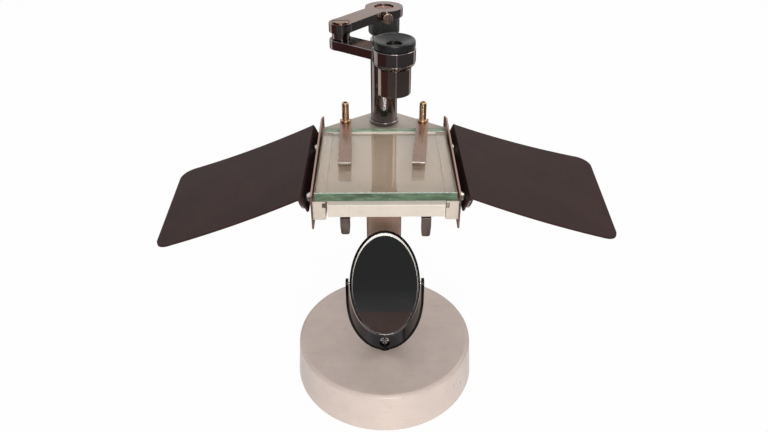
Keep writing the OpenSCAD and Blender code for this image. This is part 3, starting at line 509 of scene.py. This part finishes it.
class MICROSCOPE_OT_stage_frame(PieceOperator, bpy.types.Operator):
    """The cast frame that carries the stage."""

    bl_idname = "microscope.stage_frame"
    bl_label = "Stage frame"

    def build(self, s):
        bm = copy_of("stage_frame")
        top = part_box("stage_frame")[1].z
        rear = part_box("glass_plate")[1].y
        for face in ease(bm, s.paint_edge):
            face.material_index = 1
        bmesh.ops.bisect_plane(
            bm, geom=[*bm.verts, *bm.edges, *bm.faces], dist=CUT,
            plane_co=(0, rear, 0), plane_no=(0, 1, 0),
        )
        # Upward faces below the frame's top or under the glass get the darker plate paint, as painted
        # shade under the glass.
        bm.normal_update()
        for face in bm.faces:
            middle = face.calc_center_median()
            if face.normal.z > UPWARD and (middle.z < top - LEDGE or middle.y < rear):
                face.material_index = 2
        piece(bm, "stage_frame", ["frame_enamel", "bar_enamel", "plate_paint"])


class MICROSCOPE_OT_glass_plate(PieceOperator, bpy.types.Operator):
    """The thick glass plate with green sides and a ground bevel."""

    bl_idname = "microscope.glass_plate"
    bl_label = "Glass plate"

    def build(self, s):
        low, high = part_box("glass_plate")
        low.z += GLASS_LIFT
        bm = bmesh.new()
        bmesh.ops.create_cube(bm, size=1.0)
        bmesh.ops.scale(bm, verts=bm.verts, vec=high - low)
        bmesh.ops.translate(bm, verts=bm.verts, vec=(low + high) / 2)
        across = [e for e in bm.edges if abs((e.verts[0].co - e.verts[1].co).x) > s.glass_edge]
        bevel = bmesh.ops.bevel(
            bm, geom=across, offset=s.glass_edge, offset_type="OFFSET", segments=1, profile=0.5,
            affect="EDGES", material=-1,
        )["faces"]
        bm.normal_update()
        for face in bm.faces:
            if abs(face.normal.z) > UPWARD:
                face.material_index = 0
            else:
                face.material_index = 3 if abs(face.normal.x) > UPWARD else 1
        for face in bevel:
            face.material_index = 2
        piece(
            bm, "glass_plate", ["clear_glass", "glass_rim", "ground_glass", "plate_paint"],
            sharp=20.0, weighted=False,
        )


class MICROSCOPE_OT_slide(PieceOperator, bpy.types.Operator):
    """The sliding plate under the glass and the bar in front of it."""

    bl_idname = "microscope.slide"
    bl_label = "Slide plate and bar"

    def build(self, s):
        dress("slide_plate", "plate_paint", s.sheet_edge)
        bm = copy_of("front_bar")
        low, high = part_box("front_bar")
        lip = [
            e for e in bm.edges
            if all(v.co.z > high.z - TOUCH and v.co.y < low.y + TOUCH for v in e.verts)
        ]
        bmesh.ops.bevel(
            bm, geom=lip, offset=s.bar_lip, offset_type="OFFSET", segments=1, profile=0.5,
            affect="EDGES", material=-1,
        )
        bm.normal_update()
        # The lip's tilted faces are painted darker, as the shade under the glass's front edge.
        for face in bm.faces:
            if TILTED < face.normal.z < UPWARD and face.normal.y < -TILTED:
                face.material_index = 2
        # The bar's rounded edges get the paler enamel, partly as wear and partly as a painted
        # highlight line.
        for face in ease(bm, s.paint_edge * 0.6, 25.0):
            face.material_index = 1
        piece(bm, "front_bar", ["bar_enamel", "edge_wear_and_highlight_enamel", "lip_painted_shade"])


class MICROSCOPE_OT_springs(PieceOperator, bpy.types.Operator):
    """The flat springs under the stage and their screws."""

    bl_idname = "microscope.springs"
    bl_label = "Springs"

    def build(self, s):
        for side in ("left", "right"):
            dress("under_spring_" + side, "spring_steel", s.sheet_edge)
        dress("spring_screws", "bright_steel", s.screw_edge)


class MICROSCOPE_OT_side_plates(PieceOperator, bpy.types.Operator):
    """The steel plates at the sides of the stage and their screws."""

    bl_idname = "microscope.side_plates"
    bl_label = "Side plates"

    def build(self, s):
        for side in ("left", "right"):
            node = "side_plate_" + side
            low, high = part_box(node)
            inner = min(abs(low.x), abs(high.x))
            bm = copy_of(node)
            ease(bm, s.sheet_edge)
            for face in bm.faces:
                ear = abs(face.calc_center_median().x) > inner + EAR_REACH
                face.material_index = int(ear)
            piece(bm, node, ["side_steel", "bright_steel"])
        dress("side_plate_screws", "bright_steel", s.screw_edge)


class MICROSCOPE_OT_hand_rests(PieceOperator, bpy.types.Operator):
    """The two lacquered hand rests and their hinge pins."""

    bl_idname = "microscope.hand_rests"
    bl_label = "Hand rests"

    def build(self, s):
        for side in ("left", "right"):
            node = "hand_rest_" + side
            low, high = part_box(node)
            bm = copy_of(node)
            ease(bm, s.sheet_edge)
            inner = min(abs(low.x), abs(high.x))
            reach = max(abs(low.x), abs(high.x)) - inner
            bm.normal_update()
            for face in bm.faces:
                middle = face.calc_center_median()
                # Steep faces near the inner edge, the flange in the gap beside the side plate, are
                # painted near black as shade there.
                steep = abs(face.normal.z) < STEEP
                face.material_index = int(steep and abs(middle.x) < inner + REST_FLANGE * reach)
            if side == "right":
                for vert in bm.verts:
                    out = max(0.0, (abs(vert.co.x) - inner) / reach - REST_HINGE) / (1 - REST_HINGE)
                    back = (vert.co.y - low.y) / (high.y - low.y)
                    vert.co.z += out * (s.rest_lift * back - s.rest_drop * (1 - back))
            piece(bm, node, ["dark_lacquer", "flange_shade_lacquer"])
            dress("hinge_pins_" + side, "bright_steel", s.sheet_edge)


class MICROSCOPE_OT_thumbscrews(PieceOperator, bpy.types.Operator):
    """The four thumbscrews that hold the hand rests."""

    bl_idname = "microscope.thumbscrews"
    bl_label = "Thumbscrews"

    def build(self, s):
        for end in ("front", "rear"):
            for side in ("left", "right"):
                dress(f"thumbscrew_{end}_{side}", "bright_steel", s.screw_edge)


class MICROSCOPE_OT_clips(PieceOperator, bpy.types.Operator):
    """The stage clips and their posts."""

    bl_idname = "microscope.clips"
    bl_label = "Clips"

    def build(self, s):
        for side in ("left", "right"):
            dress("clip_post_" + side, "post_brass", s.sheet_edge)
            node = "clip_strip_" + side
            bm = copy_of(node)
            ease(bm, s.sheet_edge)
            # Faces of the raised lip get the bright steel as a painted highlight.
            low = min(v.co.z for v in bm.verts)
            for face in bm.faces:
                face.material_index = int(face.calc_center_median().z > low + CLIP_RISE)
            piece(bm, node, ["clip_steel", "bright_steel"])


class MICROSCOPE_OT_pillar(PieceOperator, bpy.types.Operator):
    """The pillar, its foot ring, its black collar and the rod inside."""

    bl_idname = "microscope.pillar"
    bl_label = "Pillar"

    def build(self, s):
        dress("pillar", "dark_nickel", s.screw_edge)
        dress("pillar_foot_ring", "dark_nickel", s.paint_edge)
        dress("pillar_collar", "collar_plastic", s.paint_edge)
        dress("focus_rod", "dark_nickel", s.screw_edge)


class MICROSCOPE_OT_arms(PieceOperator, bpy.types.Operator):
    """The two arms, their elbow and their screws."""

    bl_idname = "microscope.arms"
    bl_label = "Arms"

    def build(self, s):
        # The upper arm's upward faces get a brown tint, painted as the reflection on its top.
        dress("upper_arm", "dark_nickel", s.arm_edge, top="reflection_tinted_nickel")
        self.lower_arm(s)
        dress("arm_cap_screw", "copper_nickel", s.screw_edge)
        dress("arm_set_screw", "warm_steel", 2 * s.screw_edge)
        dress("elbow_pin", "reflection_tinted_nickel", s.screw_edge)
        dress("elbow_spacer", "dark_nickel", s.screw_edge)
        dress("elbow_screw", "bright_steel", s.screw_edge)

    def lower_arm(self, s):
        """The lower arm, whose top beside the raised lens ring is painted dark brown, as the shade
        and dark reflection under the upper arm.
        """
        bm = copy_of("lower_arm")
        ease(bm, s.arm_edge)
        bm.normal_update()
        ring_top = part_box("lower_arm")[1].z
        for face in bm.faces:
            below_ring = face.calc_center_median().z < ring_top - LEDGE
            face.material_index = int(below_ring and face.normal.z > UPWARD)
        piece(bm, "lower_arm", ["dark_nickel", "shaded_top_nickel"])


class MICROSCOPE_OT_eyepiece(PieceOperator, bpy.types.Operator):
    """The lens barrel with its nut, eyecup and lenses."""

    bl_idname = "microscope.eyepiece"
    bl_label = "Eyepiece"

    def build(self, s):
        dress("lens_nut", "dark_nickel", s.paint_edge)
        dress("eyepiece_barrel", "barrel_nickel", s.screw_edge)
        dress("eyecup", "cup_plastic", s.screw_edge)
        dress("lens_retainer", "bright_steel", s.sheet_edge)
        keep("eye_lens", "lens_glass")
        keep("field_lens", "lens_glass")


class MICROSCOPE_OT_mirror(PieceOperator, bpy.types.Operator):
    """The oval mirror cell and its two mirrors."""

    bl_idname = "microscope.mirror"
    bl_label = "Mirror"

    def build(self, s):
        bm = copy_of("mirror_cell")
        ease(bm, s.screw_edge)
        self.painted_highlight_ring(bm, s)
        piece(bm, "mirror_cell", ["smoked_nickel", "mirror_highlight_band"])
        keep("mirror_plane", "silvering")
        keep("mirror_concave", "silvering")

    def painted_highlight_ring(self, bm, s):
        """A pale band round the front mirror, painted as the highlight on its rim: wide at the top
        and fine along its sides.
        """
        plane = copy_of("mirror_plane")
        plane.normal_update()
        front = max((f for f in plane.faces if f.normal.y < 0), key=lambda f: f.calc_area())
        facing, middle = front.normal.copy(), front.calc_center_bounds()
        along = UP.cross(facing).normalized()
        rise = facing.cross(along)
        across = max(abs((v.co - middle).dot(along)) for v in front.verts)
        tall = max(abs((v.co - middle).dot(rise)) for v in front.verts)
        plane.free()
        turn = Matrix((along, rise, facing)).transposed()
        loops = []
        rings = (
            (0.0, 0.0, BEVEL_RIM),
            (s.mirror_line, s.mirror_crescent / 2, BEVEL_FOOT),
        )
        for inset, drop, lift in rings:
            made = bmesh.ops.create_circle(bm, cap_ends=False, radius=1.0, segments=72)["verts"]
            bmesh.ops.scale(bm, verts=made, vec=(across - inset, tall - drop, 1.0))
            bmesh.ops.translate(bm, verts=made, vec=(0.0, -drop, lift))
            bmesh.ops.rotate(bm, verts=made, matrix=turn)
            bmesh.ops.translate(bm, verts=made, vec=middle)
            loops += {e for v in made for e in v.link_edges}
        band = bmesh.ops.bridge_loops(bm, edges=loops)["faces"]
        for face in band:
            face.normal_update()
            if face.normal.dot(facing) < 0:
                face.normal_flip()
            face.material_index = 1


class MICROSCOPE_OT_fork(PieceOperator, bpy.types.Operator):
    """The mirror's fork with its foot, screw and pivots."""

    bl_idname = "microscope.fork"
    bl_label = "Fork"

    def build(self, s):
        dress("mirror_fork", "black_nickel", s.sheet_edge)
        dress("fork_foot", "black_nickel", s.sheet_edge)
        dress("fork_screw", "dark_nickel", s.screw_edge)
        dress("mirror_pivots", "bright_steel", s.sheet_edge)


def background_rays(tree):
    """1 for the rays that see the white background: camera, mirror and glass rays."""
    path = tree.nodes.new("ShaderNodeLightPath")
    total = path.outputs["Is Camera Ray"]
    for name in ("Is Glossy Ray", "Is Transmission Ray"):
        add = tree.nodes.new("ShaderNodeMath")
        add.operation = "MAXIMUM"
        tree.links.new(total, add.inputs[0])
        tree.links.new(path.outputs[name], add.inputs[1])
        total = add.outputs[0]
    return total


def lamp(name, place, size, power):
    """A rectangular lamp that points at the object and isn't seen itself."""
    light = bpy.data.lights.new(name, "AREA")
    light.shape = "RECTANGLE"
    light.size, light.size_y = size
    light.energy = power
    made = bpy.data.objects.new(name, light)
    made.location = place
    made.rotation_euler = (MIDDLE - Vector(place)).to_track_quat("-Z", "Y").to_euler()
    made.visible_camera = False
    bpy.context.scene.collection.objects.link(made)
    return made


class MICROSCOPE_OT_studio(bpy.types.Operator):
    """White floor and background, soft lamps and the photograph's camera."""

    bl_idname = "microscope.studio"
    bl_label = "Studio"
    bl_options = {"REGISTER", "UNDO"}

    def execute(self, context):
        scene, studio = context.scene, context.scene.microscope_studio
        scene.view_settings.view_transform = "Standard"
        self.background(scene, studio)
        self.floor(scene, studio)
        lamp("Key lamp", KEY_PLACE, KEY_SIZE, studio.key)
        back = lamp("Back lamp", BACK_PLACE, BACK_SIZE, studio.back)
        back.visible_glossy = False
        self.cards(scene)
        self.camera(scene)
        return {"FINISHED"}

    def background(self, scene, studio):
        world = bpy.data.worlds.new("Studio")
        scene.world = world
        world.use_nodes = True
        tree = world.node_tree
        shade = tree.nodes["Background"]
        strength = tree.nodes.new("ShaderNodeMapRange")
        strength.inputs["To Min"].default_value = studio.fill
        tree.links.new(background_rays(tree), strength.inputs["Value"])
        tree.links.new(strength.outputs[0], shade.inputs["Strength"])
        shade.inputs["Color"].default_value = (1.0, 1.0, 1.0, 1.0)

    def floor(self, scene, studio):
        bm = bmesh.new()
        bmesh.ops.create_circle(bm, cap_ends=True, radius=12.0, segments=64)
        bmesh.ops.translate(bm, verts=bm.verts, vec=(0, 0, -FLOOR_DROP))
        mesh = bpy.data.meshes.new("Floor")
        bm.to_mesh(mesh)
        bm.free()
        material = bpy.data.materials.new("Floor white")
        material.use_nodes = True
        tree = material.node_tree
        tree.nodes.clear()
        matt = tree.nodes.new("ShaderNodeBsdfDiffuse")
        matt.inputs["Color"].default_value = FLOOR_TONE
        glow = tree.nodes.new("ShaderNodeEmission")
        share = tree.nodes.new("ShaderNodeMath")
        share.operation = "MULTIPLY"
        share.inputs[1].default_value = studio.floor
        tree.links.new(background_rays(tree), share.inputs[0])
        both = tree.nodes.new("ShaderNodeMixShader")
        tree.links.new(share.outputs[0], both.inputs[0])
        tree.links.new(matt.outputs[0], both.inputs[1])
        tree.links.new(glow.outputs[0], both.inputs[2])
        output = tree.nodes.new("ShaderNodeOutputMaterial")
        tree.links.new(both.outputs[0], output.inputs["Surface"])
        mesh.materials.append(material)
        made = bpy.data.objects.new("Floor", mesh)
        scene.collection.objects.link(made)

    def cards(self, scene):
        """Dark and pale cards round the object, which only its polished metal sees."""
        for name, tone, start, end in FLOOR_CARDS:
            bm = bmesh.new()
            first = bm.verts.new((CARDS_NEAR, 0, 0))
            last = bm.verts.new((CARDS_FAR, 0, 0))
            edge = bm.edges.new((first, last))
            turn = Matrix.Rotation(math.radians(start - 90), 3, "Z")
            bmesh.ops.rotate(bm, verts=bm.verts, matrix=turn)
            bmesh.ops.spin(
                bm, geom=[first, last, edge], axis=UP, cent=(0, 0, 0),
                angle=math.radians(end - start), steps=24,
            )
            bmesh.ops.translate(bm, verts=bm.verts, vec=(0, 0, CARDS_LIFT))
            self.card(scene, name, bm, tone)
        bm = bmesh.new()
        foot = bm.verts.new((0, -WALL_RADIUS, 0))
        head = bm.verts.new((0, -WALL_RADIUS, WALL_HEIGHT))
        edge = bm.edges.new((foot, head))
        half = math.radians(WALL_HALF_TURN)
        bmesh.ops.rotate(bm, verts=bm.verts, matrix=Matrix.Rotation(-half, 3, "Z"))
        bmesh.ops.spin(
            bm, geom=[foot, head, edge], axis=UP, cent=(0, 0, 0), angle=2 * half, steps=42
        )
        self.card(scene, "Dark room in front", bm, WALL_TONE)
        for name, tone, place, width in LAMP_CARDS:
            bm = bmesh.new()
            bmesh.ops.create_grid(bm, x_segments=1, y_segments=1, size=width / 2)
            turn = (Vector(place) - MIDDLE).to_track_quat("Z", "Y").to_matrix()
            bmesh.ops.rotate(bm, verts=bm.verts, matrix=turn)
            bmesh.ops.translate(bm, verts=bm.verts, vec=place)
            self.card(scene, name, bm, tone)
        turn = TO_CAMERA.to_track_quat("Z", "Y").to_matrix()
        for name, tone, width, low, high in EYE_CARDS:
            bm = bmesh.new()
            bmesh.ops.create_grid(bm, x_segments=1, y_segments=1, size=0.5)
            bmesh.ops.scale(bm, verts=bm.verts, vec=(width, high - low, 1.0))
            bmesh.ops.translate(bm, verts=bm.verts, vec=(0, (low + high) / 2, 0))
            bmesh.ops.rotate(bm, verts=bm.verts, matrix=turn)
            place = MIRROR_MIDDLE + TO_CAMERA * EYE_DISTANCE
            bmesh.ops.translate(bm, verts=bm.verts, vec=place)
            self.card(scene, name, bm, tone)

    def card(self, scene, name, bm, tone):
        mesh = bpy.data.meshes.new(name)
        bm.to_mesh(mesh)
        bm.free()
        material = bpy.data.materials.new(name)
        material.use_nodes = True
        tree = material.node_tree
        tree.nodes.clear()
        glow = tree.nodes.new("ShaderNodeEmission")
        glow.inputs["Color"].default_value = (*tone, 1.0)
        output = tree.nodes.new("ShaderNodeOutputMaterial")
        tree.links.new(glow.outputs[0], output.inputs["Surface"])
        mesh.materials.append(material)
        made = bpy.data.objects.new(name, mesh)
        scene.collection.objects.link(made)
        for ray in ("camera", "diffuse", "transmission", "shadow", "volume_scatter"):
            setattr(made, "visible_" + ray, False)

    def camera(self, scene):
        data = bpy.data.cameras.new("Camera")
        data.sensor_width, data.lens = SENSOR, LENS
        data.clip_start = 0.02
        made = bpy.data.objects.new("Camera", data)
        made.location = CAMERA_PLACE
        made.rotation_euler = CAMERA_TURN
        scene.collection.objects.link(made)
        scene.camera = made


# The stage, in metres and degrees
MIDDLE = Vector((0.0, 0.0, 0.16))  # what the lamps and the bright cards point at
KEY_PLACE, KEY_SIZE = (0.12, -1.55, 0.62), (0.6, 0.6)
BACK_PLACE, BACK_SIZE = (0.0, 1.25, 1.0), (1.7, 0.9)
FLOOR_DROP = 0.2 * MM  # from the object's underside to the floor
FLOOR_TONE = (0.86, 0.87, 0.87, 1.0)
CARDS_LIFT = 0.5 * MM  # from the object's underside to the cards on the floor
CARDS_NEAR, CARDS_FAR = 0.17, 1.6  # their inner and outer radius
WALL_RADIUS, WALL_HEIGHT, WALL_HALF_TURN = 1.65, 1.5, 105
WALL_TONE = (0.035, 0.032, 0.032)
MIRROR_MIDDLE = Vector((0.0, -0.0175, 0.104))
TO_CAMERA = Vector((0.0, -0.833, 0.553))  # direction from the mirror
EYE_DISTANCE = 0.75  # from the mirror to the cards behind the camera
CAMERA_PLACE = (-0.00460, -0.41033, 0.42803)
CAMERA_TURN = (math.radians(56.42), 0.0, -0.010)
LENS, SENSOR = 30.28, 36.0  # in millimetres

# Cards on the floor: name, colour, first and last angle from the front in degrees
FLOOR_CARDS = (
    ("Front card", (0.115, 0.108, 0.108), -28, 12.5),
    ("Thin gap", (0.9, 0.8, 0.78), 12.5, 14.5),
    ("Right card", (0.10, 0.09, 0.09), 14.5, 125),
    ("Rear right gap", (0.75, 0.7, 0.66), 125, 140),
    ("Rear card", (0.05, 0.04, 0.036), 140, 228),
    ("Rear left gap", (0.85, 0.80, 0.76), 228, 262),
    ("Left card", (0.10, 0.044, 0.040), 262, 318),
    ("Front left gap", (0.12, 0.11, 0.11), 318, 332),
)
# Bright cards that put a lamp's highlight on polished edges: name, colour, place, width in metres
LAMP_CARDS = (
    ("Lamp overhead", (7.0, 6.3, 5.6), (0.0, -0.52, 1.25), 0.42),
    ("Lamp on the right", (5.0, 4.2, 3.3), (1.0, 0.27, 0.95), 0.55),
)
# Cards behind the camera: name, colour, width, lower and upper edge in metres
EYE_CARDS = (
    ("Eye card", (0.028, 0.028, 0.028), 0.24, -0.095, 0.13),
    ("Table card", (0.055, 0.032, 0.026), 0.3, -0.30, -0.095),
)

PIECES = (
    MICROSCOPE_OT_base, MICROSCOPE_OT_column, MICROSCOPE_OT_stage_frame,
    MICROSCOPE_OT_glass_plate, MICROSCOPE_OT_slide, MICROSCOPE_OT_springs,
    MICROSCOPE_OT_side_plates, MICROSCOPE_OT_hand_rests, MICROSCOPE_OT_thumbscrews,
    MICROSCOPE_OT_clips, MICROSCOPE_OT_pillar, MICROSCOPE_OT_arms, MICROSCOPE_OT_eyepiece,
    MICROSCOPE_OT_mirror, MICROSCOPE_OT_fork, MICROSCOPE_OT_studio,
)
SETTINGS = {
    "microscope_sizes": MicroscopeSizes,
    "microscope_colours": MicroscopeColours,
    "microscope_studio": MicroscopeStudio,
}


class MICROSCOPE_PT_panel(bpy.types.Panel):
    """Lists the pieces and their settings."""

    bl_label = "Dissecting Microscope"
    bl_space_type = "VIEW_3D"
    bl_region_type = "UI"
    bl_category = "Microscope"

    def draw(self, context):
        column = self.layout.column(align=True)
        for each in PIECES:
            column.operator(each.bl_idname)
        for name, group in SETTINGS.items():
            column.separator()
            for key in group.__annotations__:
                column.prop(getattr(context.scene, name), key)


def register():
    for each in (*SETTINGS.values(), *PIECES, MICROSCOPE_PT_panel):
        bpy.utils.register_class(each)
    for name, group in SETTINGS.items():
        setattr(bpy.types.Scene, name, PointerProperty(type=group))


def unregister():
    for name in SETTINGS:
        delattr(bpy.types.Scene, name)
    for each in reversed((*SETTINGS.values(), *PIECES, MICROSCOPE_PT_panel)):
        bpy.utils.unregister_class(each)


def main():
    register()
    for each in PIECES:
        area, name = each.bl_idname.split(".")
        getattr(getattr(bpy.ops, area), name)()
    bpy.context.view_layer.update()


if __name__ == "__main__":
    main()
